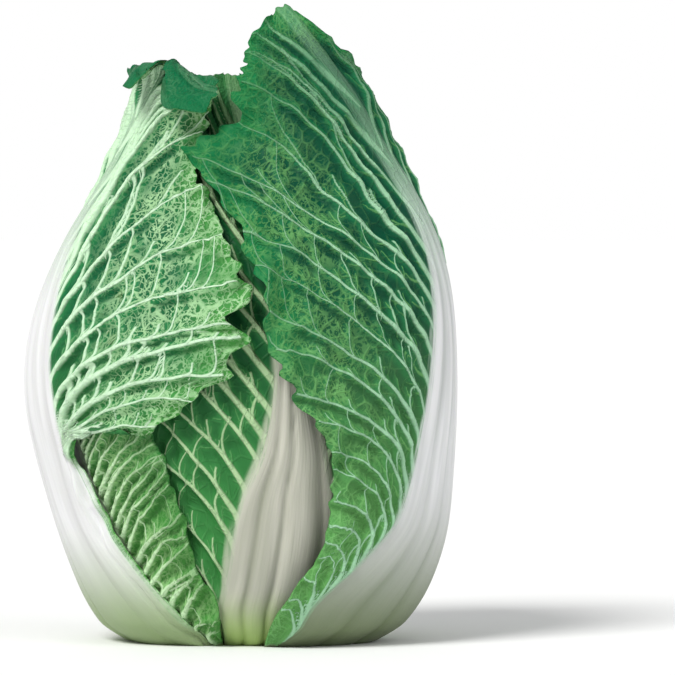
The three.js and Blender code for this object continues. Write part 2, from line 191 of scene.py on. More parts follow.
HEART_COLOUR = (0.82, 0.70, 0.16, 1)
HEART_EDGE = (0.62, 0.66, 0.15, 1)
HEART_FOLD = (0.70, 0.60, 0.12, 1)
FOLD_SCALE = 140
EDGE_SCALE = 45
FOLD_BUMP = 0.0012


def curve_through(rows, at):
    """A smooth curve through rows of numbers, read at values of their first column."""
    rows = np.array(rows, float)
    last = len(rows) - 1
    index = np.arange(last + 1)
    rise = rows[np.minimum(index + 1, last)] - rows[np.maximum(index - 1, 0)]
    slopes = rise / rise[:, :1]
    x = np.clip(at, rows[0, 0], rows[last, 0])
    k = np.clip(np.searchsorted(rows[:, 0], x) - 1, 0, last - 1)
    span = rows[k + 1, 0] - rows[k, 0]
    u = (x - rows[k, 0]) / span
    values = []
    for column in range(1, rows.shape[1]):
        begin = rows[k, column]
        change = rows[k + 1, column] - begin
        away = slopes[k, column] * span
        back = slopes[k + 1, column] * span
        bend = u * (1 - u) * (change * (2 * u - 1) + away * (1 - u) - back * u)
        values.append(begin + change * u + bend)
    return values


def smooth_step(x, low, high):
    t = np.clip((x - low) / (high - low), 0, 1)
    return t * t * (3 - 2 * t)


def lean(height):
    def shape(z):
        return np.cos(math.pi * (z - LEAN_FROM) / LEAN_SPAN) ** 2
    return LEAN * (shape(height) - shape(0))


def layer_top(depth):
    return OUTER_HEIGHT + (HEART_HEIGHT - OUTER_HEIGHT) * depth / LEAF_ROOM


def head_point(azimuth, share, depth):
    """Points of the head at an azimuth and a share of the way up, below its outermost layer."""
    turn = np.radians(azimuth)
    slow = np.sin(3 * turn + 5 * share + 0.6) + 0.7 * np.sin(5 * turn - 8 * share)
    wave = WAVE_HEIGHT * slow * np.minimum(1, share / 0.3)
    inwards = (depth - wave) / LEAF_ROOM
    outer_radius, outer_height = curve_through(OUTER_LAYER, share)
    heart_radius, heart_height = curve_through(HEART_LAYER, share)
    radius = outer_radius + (heart_radius - outer_radius) * inwards
    height = outer_height + (heart_height - outer_height) * inwards
    return np.stack([radius * np.sin(turn) + lean(height), -radius * np.cos(turn), height], -1)


def unit(vectors):
    return vectors / np.maximum(np.linalg.norm(vectors, axis=-1, keepdims=True), 1e-9)


def grid_normals(points):
    """Outward unit normals of a grid of points, whose rows go up and whose columns go round."""
    return unit(np.cross(np.gradient(points, axis=1), np.gradient(points, axis=0)))


def ripple(points, size, seed):
    """Smooth uneven numbers from about -1 to 1, whose bumps are about size across."""
    chance = np.random.default_rng(seed)
    total = 0
    for _ in range(6):
        way = chance.normal(size=3)
        way *= 2 * math.pi / (size * np.linalg.norm(way))
        total = total + np.sin(points @ way + chance.uniform(0, 6.3))
    return total / 2.5


def sheet_on_grid(rows, columns, shells):
    """A flat grid, doubled into a closed slab if shells is 2, and where each vertex is on it."""
    bm = bmesh.new()
    bmesh.ops.create_grid(bm, x_segments=columns, y_segments=rows, size=1)
    if shells == 2:
        grown = bmesh.ops.extrude_face_region(bm, geom=bm.faces[:], use_keep_orig=True)["geom"]
        moved = [part for part in grown if isinstance(part, bmesh.types.BMVert)]
        bmesh.ops.translate(bm, vec=(0, 0, -1), verts=moved)
        bmesh.ops.recalc_face_normals(bm, faces=bm.faces)
    bm.verts.ensure_lookup_table()
    place = np.array([vertex.co for vertex in bm.verts])
    row = np.rint((place[:, 1] + 1) / 2 * rows).astype(int)
    column = np.rint((place[:, 0] + 1) / 2 * columns).astype(int)
    return bm, row, column, place[:, 2] < -0.5


def move_to(bm, points):
    for vertex, point in zip(bm.verts, points.tolist()):
        vertex.co = point


heart_material, start, shader = new_material("packed_heart")
place = start.node("ShaderNodeTexCoord", {}, out="Object")
folds = start.noise(place, FOLD_SCALE, 4)
edge = start.noise(place, EDGE_SCALE, 3)
# The folds noise also sets the bump: its low creases take the darker fold colour, which is painted
# shade.
tissue = folds.step(0.35, 0.55).mix(HEART_FOLD, HEART_COLOUR)
join(edge.step(0.5, 0.68).mix(tissue, HEART_EDGE), shader["Base Color"])
join(start.node("ShaderNodeBump", {"Height": folds, "Distance": FOLD_BUMP, "Strength": 0.6}),
     shader["Normal"])
shader["Roughness"].default_value = 0.5

bm, row, column, _ = sheet_on_grid(HEART_ROWS, HEART_COLUMNS, 1)
up = np.linspace(0, 1, HEART_ROWS + 1)[:, None]
turn = np.linspace(0, 1, HEART_COLUMNS + 1)[None, :]
share = HEART_START + (1 - HEART_START) * np.clip((up - SOCKET_SHARE) / (1 - SOCKET_SHARE), 0, 1)
winding = (turn * EDGE_STEPS + share * EDGE_SLANT) % 1
edge_drop = np.minimum(winding, (1 - winding) * 6)
crown = smooth_step(share, 0.55, 0.9)
smooth_heart = head_point(360 * turn, share, LEAF_ROOM + SOCKET_GAP + EDGE_HEIGHT * (1 - edge_drop))
crumples = 1 - np.abs(ripple(smooth_heart, CRUMPLE_SIZE, 4)) * 2
fine_crumples = 1 - np.abs(ripple(smooth_heart, FINE_CRUMPLE_SIZE, 5)) * 2
lift = crown * (CRUMPLE * crumples + FINE_CRUMPLE * fine_crumples)
surface = smooth_heart + grid_normals(smooth_heart) * (lift - CRUMPLE)[..., None]
socket_radius, socket_height = [np.interp(up[:, 0] / SOCKET_SHARE, np.linspace(0, 1, 4), values)
                                for values in zip(*SOCKET)]
angle = 2 * math.pi * turn
socket = np.stack([socket_radius[:, None] * np.sin(angle), -socket_radius[:, None] * np.cos(angle),
                   socket_height[:, None] + 0 * angle], -1)
points = np.where((up < SOCKET_SHARE)[..., None], socket, surface)
move_to(bm, points[row, column])
bmesh.ops.remove_doubles(bm, verts=bm.verts, dist=2 * MERGE_GAP)
bmesh.ops.recalc_face_normals(bm, faces=bm.faces)
piece_from(bm, "packed_heart", heart_material, "heart")

# Young leaves
# Four pale leaves close over the heart, each one a layer further out, following each other round at
# the golden angle. Each is a thin crinkled blade on a slim rib, shaped from one slab of a grid.
YOUNG_LEAVES = 4
FIRST_YOUNG_AZIMUTH = 60
GOLDEN_ANGLE = 137.5
FIRST_YOUNG_DEPTH = 22.5
YOUNG_LAYER = 4.2
PAST_THE_TOP = 0.97
HOOD_SPREAD = [
    (0, 42, 0), (0.08, 44, 0.1), (0.2, 54, 0.24), (0.4, 66, 0.47), (0.6, 74, 0.66),
    (0.8, 82, 0.8), (0.92, 92, 0.87), (1, 106, 0.92),
]
HOOD_RIB_TAPER = [(0, 0.6), (0.1, 0.9), (0.4, 0.7), (0.7, 0.3), (1, 0.12)]
BLADE = 1.0
ROLL_STEP = 0.01
LARGEST_ROLL = math.pi * 0.9
TURN_TO_MARGIN_DEPTH = (10, 70)
SCALLOPS = [(26, 0.4), (11, 0.4), (6, 0.35)]
TIP_SCALLOP_SIZE = 11
CRINKLES = [(30, 0.8, 2), (15, 0.5, 3)]
WING_SPAN = 60
SMOOTHED_ROWS = 9
VEIN_START = 12
VEIN_POINTS = 40
VEIN_REACH = 0.985
VEIN_POINT_STEP = 0.5
LEAST_VEIN = 0.28
LIMB_STEP = 1.2
LIMB_WANDER = 0.09
LINK_WANDER = 0.12
LEAST_LINK_RISE = 4
NET_WIDTH = 0.7
WHITE_EDGE = 9
TOP_HEIGHTS = (190, 265)
NET_JITTER = 0.42
GRID_GUARD = 1.0
GUARD_CELLS = 0.75
THREAD_EDGES = {"vein": (0.6, 1.3), "limb": (0.5, 1.4), "twig": (0.4, 1.5), "net": (0.3, 1.0)}
THREAD_HEIGHTS = {"vein": 0.8, "limb": 0.5, "twig": 0.35, "net": 0.3}
RIB_STREAKS = (95, 3.2, 1)
RIB_BANDS = (11, 1.2, 1)
CLOUD_SCALE = 42
GRAIN_SCALE = 700
LACE_BEND_SCALE = 260
LACE_BEND = 0.006
LARGE_LACE = 0.4
LEAF_BUMP = 0.0009
LEAF_GLOSS = 0.12
LIGHT_THROUGH = 0.05
LIGHT_DEPTH = 0.003
LIGHT_TINT = (0.6, 1.0, 0.3)
LEAF_HABIT = {
    "limb_length": 10, "link_gap": 10, "link_width": 0.6, "net_spacing": 6, "scallop": 0.04,
    "tip_scallop": 0.5, "frills": 40, "crinkle": 1, "vein_height": 1, "cell_depth": 1.3,
    "stalk_fade": (0.55, 0.95), "lace_span": (0.3, 0.9), "arch": 1.5, "margin_dim": 0.4,
    "top_dim": 0.4, "white_below": (0, 1), "wander": 0.45, "dark_above": (-2, -1),
    "rise": [(0, 8), (60, 20), (120, 32), (180, 40), (230, 26), (300, 4)],
}
LEAF_LOOK = {
    "inner": (0.0, 0.13, 0.045), "lace_scale": 330, "net_strength": 0.6, "twig_strength": 0.7,
    "foot_height": 0.06, "low": (0.07, 0.26, 0.045),
}
YOUNG_SECTION = {"rib_thickness": 2.6, "rib_bulge": 0.5, "ridges": 3, "ridge_height": 0.2}
YOUNG_LOOK = {
    "cells": (0.52, 0.62, 0.13), "shade": (0.40, 0.51, 0.09), "veins": (0.80, 0.83, 0.46),
    "net": (0.62, 0.70, 0.28), "rib": (0.84, 0.86, 0.66), "foot": (0.62, 0.68, 0.36),
    "margin": (0.36, 0.52, 0.10), "lace": 0.35, "groove": (0.70, 0.74, 0.46),
    "inner": (0.55, 0.62, 0.20), "low": (0.44, 0.58, 0.12),
}


def even_outline(azimuth, length, twist, spread, scale, taper, rib_scale):
    """Rib and margin rows of an even leaf about its own azimuth."""
    def turn(share):
        return azimuth + twist * share

    def margin(side):
        return [(share * length, turn(share) + side * half * scale, height * length)
                for share, half, height in spread]

    rib = [(share * length, turn(share), half * rib_scale) for share, half in taper]
    return {"rib": rib, "before": margin(-1), "after": margin(1)}


def layer_point(leaf, azimuth, share, depth):
    """A point of the leaf's middle face, leaning out where the leaf's top flares."""
    points = head_point(azimuth, share, depth)
    if "flare" in leaf:
        low, high, out = leaf["flare"]
        turn = np.radians(azimuth)
        flat = np.stack([np.sin(turn), -np.cos(turn)], -1)
        points[..., :2] += flat * (out * smooth_step(points[..., 2], low, high))[..., None]
    return points


def rolled_point(leaf, azimuth, past, depth, top):
    """A point past the line where the leaf's top rolls outwards."""
    line, radius = leaf["roll"]
    start_point = layer_point(leaf, azimuth, line / top + 0 * azimuth, depth)
    below = layer_point(leaf, azimuth, line / top - ROLL_STEP + 0 * azimuth, depth)
    upwards = unit(start_point - below)
    turn = np.radians(azimuth)
    around = np.stack([np.cos(turn), np.sin(turn), 0 * turn], -1)
    outwards = unit(np.cross(around, upwards))
    bent = np.minimum(past / radius, LARGEST_ROLL)
    hanging = past - bent * radius
    along = radius * np.sin(bent) + hanging * np.cos(bent)
    out = radius * (1 - np.cos(bent)) + hanging * np.sin(bent)
    return start_point + upwards * along[..., None] + outwards * out[..., None]


def leaf_point(leaf, across, height):
    """Points of a leaf's middle face. Across is -2 at one margin, -1 to 1 on the rib, 2 at the other."""
    across, height = np.broadcast_arrays(np.asarray(across, float), np.asarray(height, float))
    rib_azimuth, half_width = curve_through(leaf["rib"], height)
    before, rib_depth, after = leaf["depths"]
    top = layer_top(rib_depth)
    outer_radius = curve_through(OUTER_LAYER, np.minimum(height / top, 1))[0]
    rib_turn = np.degrees(half_width / np.maximum(outer_radius - rib_depth, 8))
    azimuth = rib_azimuth + np.clip(across, -1, 1) * rib_turn
    share = height / top
    out = np.maximum(np.abs(across) - 1, 0)
    before_azimuth, before_height = curve_through(leaf["before"], height)
    after_azimuth, after_height = curve_through(leaf["after"], height)
    margin_azimuth = np.where(across < 0, before_azimuth, after_azimuth)
    margin_height = np.where(across < 0, before_height, after_height)
    azimuth = azimuth + (margin_azimuth - azimuth) * out
    share = share + (margin_height / top - share) * out
    if "notch" in leaf:
        middle, width, drop, low = leaf["notch"]
        near = np.exp(-((azimuth - middle) / width) ** 2)
        share = share - drop / top * near * smooth_step(height, low, leaf["length"])
    turn = azimuth - rib_azimuth
    margin_depth = np.where(turn < 0, before, after)
    depth = rib_depth + (margin_depth - rib_depth) * smooth_step(np.abs(turn), *TURN_TO_MARGIN_DEPTH)
    if "tuck" in leaf:
        inwards, low, high = leaf["tuck"]
        tucked = np.where(across > 0, inwards, 0) * out ** 2
        depth = depth + tucked * (1 - smooth_step(height, low, high))
    points = layer_point(leaf, azimuth, share, depth)
    if "roll" in leaf:
        past = share * top - leaf["roll"][0]
        rolled = rolled_point(leaf, azimuth, np.maximum(past, 0), depth, top)
        points = np.where((past > 0)[..., None], rolled, points)
    return points


def leaf_grid(leaf):
    """Across and height for each vertex of a grid of nearly square cells over the whole leaf."""
    rows, columns = leaf["grid"]
    length = leaf["length"]
    height = np.linspace(0, length, rows + 1)
    parts = []
    for low, high in ((-2, -1), (-1, 1), (1, 2)):
        probe = leaf_point(leaf, np.linspace(low, high, 9)[None, :], height[:, None])
        parts.append(np.linalg.norm(np.diff(probe, axis=1), axis=-1).sum(1))
    widths = np.maximum(np.stack(parts, 1), 4)
    kernel = np.ones(SMOOTHED_ROWS) / SMOOTHED_ROWS
    beyond = SMOOTHED_ROWS // 2
    padded = np.pad(widths, ((beyond, beyond), (0, 0)), mode="edge")
    widths = np.stack([np.convolve(padded[:, i], kernel, "valid") for i in range(3)], 1)
    ends = np.cumsum(widths, 1) / widths.sum(1, keepdims=True)
    side = np.linspace(0, 1, columns + 1)
    across = np.stack([np.interp(side, [0, first, second, 1], [-2, -1, 1, 2])
                       for first, second in ends[:, :2]])
    return across, np.broadcast_to(height[:, None], across.shape).copy(), widths


def side_vein(leaf, begin, wing, chance):
    """A main side vein on the flattened blade: rows of distance from the rib, height, half width."""
    rise = curve_through(leaf["rise"], begin)[0] * chance.uniform(0.95, 1.04)
    u = np.linspace(-0.3, 1, VEIN_POINTS)
    out = np.clip(u, 0, 1)
    climb = rise * (1 - (1 - out) ** leaf["arch"]) + np.minimum(u, 0) * VEIN_START / 0.3
    height = begin + climb + np.cumsum(chance.normal(size=VEIN_POINTS)) * leaf["wander"] * out
    strength = leaf["vein_width"] * chance.uniform(0.65, 1.3)
    width = strength * (0.4 + 1.1 * (1 - out) ** 2.4) * np.where(u < 0, 1 + u * 2, 1)
    return np.stack([np.where(u < 0, u * 20, out * wing(height)), height, width], 1)


def run_along(line, span=1):
    """How far along a line each of its points is, if one unit of across is so many millimetres."""
    steps = np.hypot(np.diff(line[:, 0]) * span, np.diff(line[:, 1]))
    return np.concatenate([[0], np.cumsum(steps)])


def read_rows(at, run, rows):
    """What rows of numbers say at places between them."""
    return np.stack([np.interp(at, run, column) for column in rows.T], -1)


def limb(x, y, heading, length, width, bend, chance):
    """A thin vein on the flattened blade: it sets out at an angle and bends as it goes."""
    share = np.linspace(0, 1, max(int(length / LIMB_STEP), 3))
    course = heading + bend * share + np.cumsum(chance.normal(size=len(share))) * LIMB_WANDER
    return np.stack([x + np.cumsum(np.cos(course)) * LIMB_STEP,
                     y + np.cumsum(np.sin(course)) * LIMB_STEP, width * (1 - 0.55 * share)], 1)


def limbs(parent, gap, length, turn, width_share, chance):
    """Thinner veins that leave a vein on either side by turns."""
    run = run_along(parent)
    found = []
    place = gap * chance.uniform(0.4, 1)
    way = 1
    while place < run[-1] - gap / 3:
        x, y, width = read_rows(place, run, parent)
        ahead = read_rows(place + 1, run, parent)
        spread = way * turn * chance.uniform(0.75, 1.25)
        heading = math.atan2(ahead[1] - y, ahead[0] - x) + spread
        if x > 0:
            found.append(limb(x, y, heading, length * chance.uniform(0.55, 1.3),
                              width * width_share, -0.45 * spread, chance))
        place += gap * chance.uniform(0.6, 1.4)
        way = -way
    return found


def links(mains, gap, width_share, chance):
    """Thinner veins that fork off each main vein and bend over to the next one."""
    found = []
    for first, second in zip(mains, mains[1:]):
        first, second = first[first[:, 0] > 0], second[second[:, 0] > 0]
        place = gap * chance.uniform(0.3, 1.2)
        while place < first[-1, 0]:
            ahead = place + gap * chance.uniform(0.1, 0.9)
            if ahead > second[-1, 0]:
                break
            begin, onward = read_rows([place, place + 2], first[:, 0], first)
            end = read_rows(ahead, second[:, 0], second)
            length = np.hypot(*(end - begin)[:2])
            if abs(end[1] - begin[1]) < LEAST_LINK_RISE:
                place += gap
                continue
            way = (onward - begin)[:2] / max(np.hypot(*(onward - begin)[:2]), 0.1)
            bend = begin[:2] + way * length * chance.uniform(0.35, 0.75)
            u = np.linspace(0, chance.choice([1, 1, 0.6]), max(int(length / LIMB_STEP), 4))[:, None]
            course = (1 - u) ** 2 * begin[:2] + 2 * u * (1 - u) * bend + u ** 2 * end[:2]
            course += np.cumsum(chance.normal(size=course.shape), 0) * LINK_WANDER
            found.append(np.column_stack([course, width_share * begin[2] * (1 - 0.4 * u)]))
            place += gap * chance.uniform(0.6, 1.5)
    return found


def vein_tree(leaf, widths, chance):
    """Main side veins, the links between them and the twigs, as rows of across, height, half width."""
    length = leaf["length"]
    heights = np.linspace(0, length, len(widths))
    orders = [[], [], []]
    for side, starts in leaf["vein_starts"].items():
        def wing(height):
            return np.interp(height, heights, widths[:, 0 if side < 0 else 2])

        def on_leaf(line):
            x, y, width = line.T
            half_rib = np.maximum(curve_through(leaf["rib"], y)[1], 2)
            out = np.where(x < 0, x / half_rib, x / wing(y))
            kept = np.logical_and(out < VEIN_REACH, np.logical_and(y > 0, y < length))
            kept = np.logical_and.accumulate(np.logical_or(kept, x < 0))
            return np.stack([side * (1 + out), y, width], 1)[kept]

        mains = [side_vein(leaf, begin, wing, chance) for begin in starts]
        first, second = leaf["limb_length"], leaf["limb_length"] * 0.5
        thin = links(mains, leaf["link_gap"], leaf["link_width"], chance)
        twigs = [line for main in thin for line in limbs(main, second, second, 0.9, 0.75, chance)]
        twigs += [line for main in mains for line in limbs(main, first, first * 0.7, 0.7, 0.5, chance)]
        for order, lines in zip(orders, (mains, thin, twigs)):
            order += [line for line in map(on_leaf, lines) if len(line) > 2]
    return orders


def vein_points(leaf, lines):
    """Points close together along the veins, their directions and their half widths."""
    dense = []
    for line in lines:
        run = run_along(line, WING_SPAN)
        dense.append(read_rows(np.arange(0, run[-1], VEIN_POINT_STEP), run, line))
    ends = np.cumsum([len(line) for line in dense])[:-1]
    table = np.concatenate(dense)
    points = leaf_point(leaf, table[:, 0], table[:, 1])
    ways = np.concatenate([np.gradient(piece, axis=0) for piece in np.split(points, ends)])
    return points, unit(ways), table[:, 2]


def nearest(points, targets, count):
    """The indices of the nearest targets of each point."""
    tree = KDTree(len(targets))
    for index, target in enumerate(targets.tolist()):
        tree.insert(target, index)
    tree.balance()
    return np.array([[found[1] for found in tree.find_n(point, count)]
                     for point in points.reshape(-1, 3).tolist()])


def grid_guard(leaf):
    """How far from a vein the corners of a grid cell that it crosses may lie, in millimetres."""
    return max(GRID_GUARD, GUARD_CELLS * leaf["length"] / leaf["grid"][0])


def vein_offsets(leaf, points, lines):
    """From the nearest vein to each point: the way and the distance in half widths, and that in mm."""
    places, ways, widths = vein_points(leaf, lines)
    found = nearest(points, places, 1)[:, 0]
    offset = points.reshape(-1, 3) - places[found]
    distance = np.linalg.norm(offset, axis=1)
    offset -= ways[found] * np.sum(offset * ways[found], 1, keepdims=True)
    width = np.maximum(widths[found], LEAST_VEIN)
    shape = points.shape[:-1]
    far = np.maximum(distance - grid_guard(leaf), 0) / width
    return (offset / width[:, None]).reshape(points.shape), far.reshape(shape), distance.reshape(shape)


def net_offsets(leaf, points, chance):
    """From the nearest thread of an uneven net to each point, given as vein_offsets gives it."""
    rows, columns = leaf["grid"]
    spacing = leaf["net_spacing"]
    seed_rows, seed_columns = np.meshgrid(np.arange(0, rows + spacing, spacing),
                                          np.arange(0, columns + spacing, spacing), indexing="ij")
    shift = np.where(np.arange(seed_rows.shape[0]) % 2 == 0, 0, spacing / 2)[:, None]
    jitter = chance.uniform(-NET_JITTER, NET_JITTER, size=(2, *seed_rows.shape)) * spacing
    seed_rows = np.clip(np.rint(seed_rows + jitter[0]), 0, rows).astype(int)
    seed_columns = np.clip(np.rint(seed_columns + shift + jitter[1]), 0, columns).astype(int)
    seeds = np.unique(points[seed_rows, seed_columns].reshape(-1, 3).round(3), axis=0)
    found = nearest(points, seeds, 2)
    flat = points.reshape(-1, 3)
    first, second = seeds[found[:, 0]], seeds[found[:, 1]]
    gap = second - first
    span = np.maximum(np.linalg.norm(gap, axis=1, keepdims=True), 0.1)
    away = (np.sum((flat - second) ** 2, 1) - np.sum((flat - first) ** 2, 1))[:, None] / (2 * span)
    vector = (gap / span * away).reshape(points.shape) / NET_WIDTH
    distance = np.linalg.norm(vector, axis=-1) * NET_WIDTH
    return vector, np.maximum(distance - grid_guard(leaf), 0) / NET_WIDTH, distance


def leaf_material(name, look):
    """Leaf tissue: sunken cells and the hollows under the veins painted dark as shade between pale veins
    and nets, shading into a streaky rib with painted shade in its grooves.
    """
    material, start, shader = new_material(name)
    mask = start.attribute
    place = start.node("ShaderNodeTexCoord", {}, out="Object")
    spread = start.node("ShaderNodeUVMap", {}, uv_map="leaf")
    up = start.node("ShaderNodeSeparateXYZ", {"Vector": place}, out="Z")
    along = start.node("ShaderNodeMapping", {"Vector": spread, "Scale": RIB_STREAKS})
    streak = start.noise(along, 1, 3)
    broad = start.node("ShaderNodeMapping", {"Vector": spread, "Scale": RIB_BANDS})
    band = start.noise(broad, 1)
    cloud = start.noise(place, CLOUD_SCALE, 3)
    grain = start.noise(place, GRAIN_SCALE)
    bending = start.noise(place, LACE_BEND_SCALE) * LACE_BEND
    bent = start.node("ShaderNodeVectorMath", {0: place, 1: bending}, operation="ADD")

    def thread(title):
        """1 on the nearest thread of a kind and 0 off it."""
        offset = start.attribute(title, out="Vector")
        length = start.node("ShaderNodeVectorMath", {0: offset}, out="Value", operation="LENGTH")
        far = mask(title + "_far")
        return 1 - start.maths("MAXIMUM", length, far).step(*THREAD_EDGES[title])

    def lace_of(scale, edge):
        """1 on the edges of small cells of tissue and 0 inside them."""
        cell = start.node("ShaderNodeTexVoronoi", {"Vector": bent, "Scale": scale},
                          feature="DISTANCE_TO_EDGE")
        return 1 - cell.step(0.02, edge)

    threads = {title: thread(title) for title in THREAD_EDGES}
    lace = start.maths("MAXIMUM", lace_of(look["lace_scale"], 0.12),
                       lace_of(look["lace_scale"] * LARGE_LACE, 0.10))
    lace = lace * (0.25 + cloud.step(0.3, 0.6)) * mask("lacy")
    inside = mask("inside")
    groove = mask("groove")
    whole_rib = (mask("rib") + (streak - 0.5) * 7 + (band - 0.5) * 8).step(-3, 3)
    rib = whole_rib * mask("stalk")
    strands = whole_rib * (0.35 + streak.step(0.4, 0.6) * 0.65)
    shown = (1 - inside * 0.93) * mask("pale")
    # In the hollows under the veins the pale lace and nets fade, as part of their painted shade.
    meshed = shown * (1 - mask("hollow") * 0.9)
    netted = meshed * (0.15 + 0.85 * mask("lacy"))

    # Sunken cells, far from the veins, take the darker shade colour as painted shade; random clouds
    # darken some more.
    depth = (mask("deep") * 0.75 + cloud * 0.5 - 0.12).step(0.05, 0.95)
    tissue = depth.mix((*look["cells"], 1), (*look["shade"], 1))
    layers = [
        (mask("margin") * (0.4 + cloud), "margin"),
        (inside * 0.95, "inner"),
        ((1 - up.step(0.02, 0.18)) * 0.75, "low"),
        (lace * look["lace"] * meshed, "net"),
        (threads["net"] * look["net_strength"] * netted, "net"),
        (threads["twig"] * look["twig_strength"] * meshed, "net"),
        (threads["limb"] * 0.85 * shown, "veins"),
        (threads["vein"] * shown, "veins"),
        (strands * shown, "veins"),
    ]
    for amount, colour in layers:
        tissue = amount.mix(tissue, (*look[colour], 1))
    # The rib takes the darker groove colour in its grooves as painted shade, and in broad random bands
    # and fine streaks along it.
    furrow = groove * 0.5 + streak.step(0.3, 0.7) * 0.1 + band.step(0.35, 0.65) * 0.5
    stalk = furrow.mix((*look["rib"], 1), (*look["groove"], 1))
    # Low on the stalk it turns to the foot colour: a greener base darkened by painted shade near the
    # floor.
    foot = 1 - (up + (band - 0.5) * 0.012).step(0.002, look["foot_height"])
    stalk = (foot * 0.9).mix(stalk, (*look["foot"], 1))
    join(rib.mix(tissue, stalk), shader["Base Color"])
    join(0.38 + grain * 0.22 - threads["vein"] * 0.05, shader["Roughness"])

    height = lace * 0.3 + grain * 0.05
    for title, rise in THREAD_HEIGHTS.items():
        height = height + threads[title] * rise
    height = height * (1 - rib) + rib * (streak * 0.3 + grain * 0.05)
    join(start.node("ShaderNodeBump", {"Height": height, "Distance": LEAF_BUMP, "Strength": 0.8}),
         shader["Normal"])
    shader["Specular IOR Level"].default_value = LEAF_GLOSS
    shader["Subsurface Weight"].default_value = LIGHT_THROUGH
    shader["Subsurface Scale"].default_value = LIGHT_DEPTH
    shader["Subsurface Radius"].default_value = LIGHT_TINT
    return material


def trimmed_sheet(leaf):
    """A leaf's grid with its margins trimmed to scallops, and the points of its middle face."""
    seed = leaf["seed"]
    across, height, widths = leaf_grid(leaf)
    out = np.maximum(np.abs(across) - 1, 0)
    up = height / leaf["length"]
    line = np.stack([height, across * 3, 0 * height], -1)
    scallop = sum(ripple(line, size, seed + size) * share for size, share in SCALLOPS)
    trim = out ** 6 * leaf["scallop"] * (scallop - 0.3) * np.minimum(1, up * 6)
    across = across + np.sign(across) * trim
    tip_line = np.stack([across * 14, 0 * height, 0 * height], -1)
    tip_drop = (1 + ripple(tip_line, TIP_SCALLOP_SIZE, seed + 1)) * leaf["tip_scallop"]
    height = height - np.maximum(tip_drop, 0) * smooth_step(up, 0.9, 1)
    return SimpleNamespace(across=across, height=height, widths=widths, out=out, up=up,
                           middle=leaf_point(leaf, across, height))


def blade_lift(leaf, sheet):
    """How far the blade's crinkles and the margin's frills stand off the leaf's layer."""
    seed = leaf["seed"]
    crinkle = sum(ripple(sheet.middle, size, seed + step) * share for size, share, step in CRINKLES)
    wave = sheet.height / leaf["length"] * leaf["frills"] + sheet.across * 3
    frill = (np.sin(wave + 2 * ripple(sheet.middle, 40, seed + 5))
             + ripple(sheet.middle, 14, seed + 4) + 1)
    ruffle = np.where(sheet.across < 0, *leaf["ruffle"]) * np.minimum(1, sheet.up * 4)
    rolled = smooth_step(sheet.up, 0.88, 0.95) if "roll" in leaf else 0
    return ruffle * sheet.out ** 3 * frill + sheet.blade * crinkle * (leaf["crinkle"] + rolled)


def leaf_faces(leaf, sheet, distance):
    """The outer and the inner face: a ridged rib, raised veins and sunken cells on a lifted blade."""
    section = leaf["section"]
    fade = smooth_step(sheet.up, 0.3, 0.95)
    ridges = (1 - 2 * sheet.groove ** 3) * sheet.bulge ** 0.5
    sunken = leaf["cell_depth"] * sheet.deep
    relief = (section["rib_bulge"] * (0.4 + 0.6 * (1 - fade)) * sheet.bulge
              + section["ridge_height"] * (1 - fade) * ridges
              + sheet.blade * (1.1 * np.exp(-(distance["vein"] / 1.5) ** 2) * leaf["vein_height"]
                               + 0.5 * np.exp(-(distance["limb"] / 1.0) ** 2)
                               + 0.3 * np.exp(-(distance["net"] / 0.8) ** 2)
                               - sunken - 0.8 * sheet.hollow))
    thickness = BLADE + (section["rib_thickness"] - BLADE) * (1 - fade) * sheet.bulge
    lift = blade_lift(leaf, sheet)
    normal = grid_normals(sheet.middle)
    inner_relief = sheet.blade * (sunken * 0.85 + 0.8 * sheet.hollow)
    outer = sheet.middle + normal * (lift + relief)[..., None]
    inner = sheet.middle + normal * (lift - thickness - inner_relief)[..., None]
    for face in (outer, inner):
        face[0, :, 2] = 0
        face[..., 2] = np.maximum(face[..., 2], 0)
    return outer, inner


def paint_masks(leaf, sheet):
    """What the leaf's material reads at each point of the grid, by name."""
    height = sheet.middle[..., 2]
    half_width = curve_through(leaf["rib"], sheet.height)[1]
    rows = np.linspace(0, leaf["length"], len(sheet.widths))
    wing = np.where(sheet.across < 0, np.interp(sheet.height, rows, sheet.widths[:, 0]),
                    np.interp(sheet.height, rows, sheet.widths[:, 2]))
    from_edge = np.where(np.abs(sheet.across) < 1, (1 - np.abs(sheet.across)) * half_width,
                         -sheet.out * wing)
    edge = np.maximum(sheet.out, smooth_step(sheet.up, 0.86, 1))
    high = smooth_step(height, *leaf["dark_above"])
    dim_margin = leaf["margin_dim"] * high * smooth_step(sheet.out, 0.4, 0.9)
    dim_top = leaf["top_dim"] * smooth_step(height, *TOP_HEIGHTS)
    return {
        "rib": from_edge + WHITE_EDGE * (1 - smooth_step(height, *leaf["white_below"])),
        "stalk": 1 - smooth_step(sheet.up, *leaf["stalk_fade"]),
        "margin": high * smooth_step(edge, 0.65, 1),
        "pale": (1 - dim_margin) * (1 - dim_top),
        "lacy": smooth_step(edge, *leaf["lace_span"]),
        "deep": np.maximum(sheet.deep, sheet.hollow),
        "hollow": sheet.hollow,
        "groove": smooth_step(sheet.groove, 0.55, 1) * sheet.bulge ** 0.3,
    }


def attach(mesh, title, values):
    """Stores a number or a vector for each vertex."""
    kind, key = ("FLOAT_VECTOR", "vector") if values.ndim == 2 else ("FLOAT", "value")
    layer = mesh.attributes.new(title, kind, "POINT")
    layer.data.foreach_set(key, np.ascontiguousarray(values, np.float32).ravel())


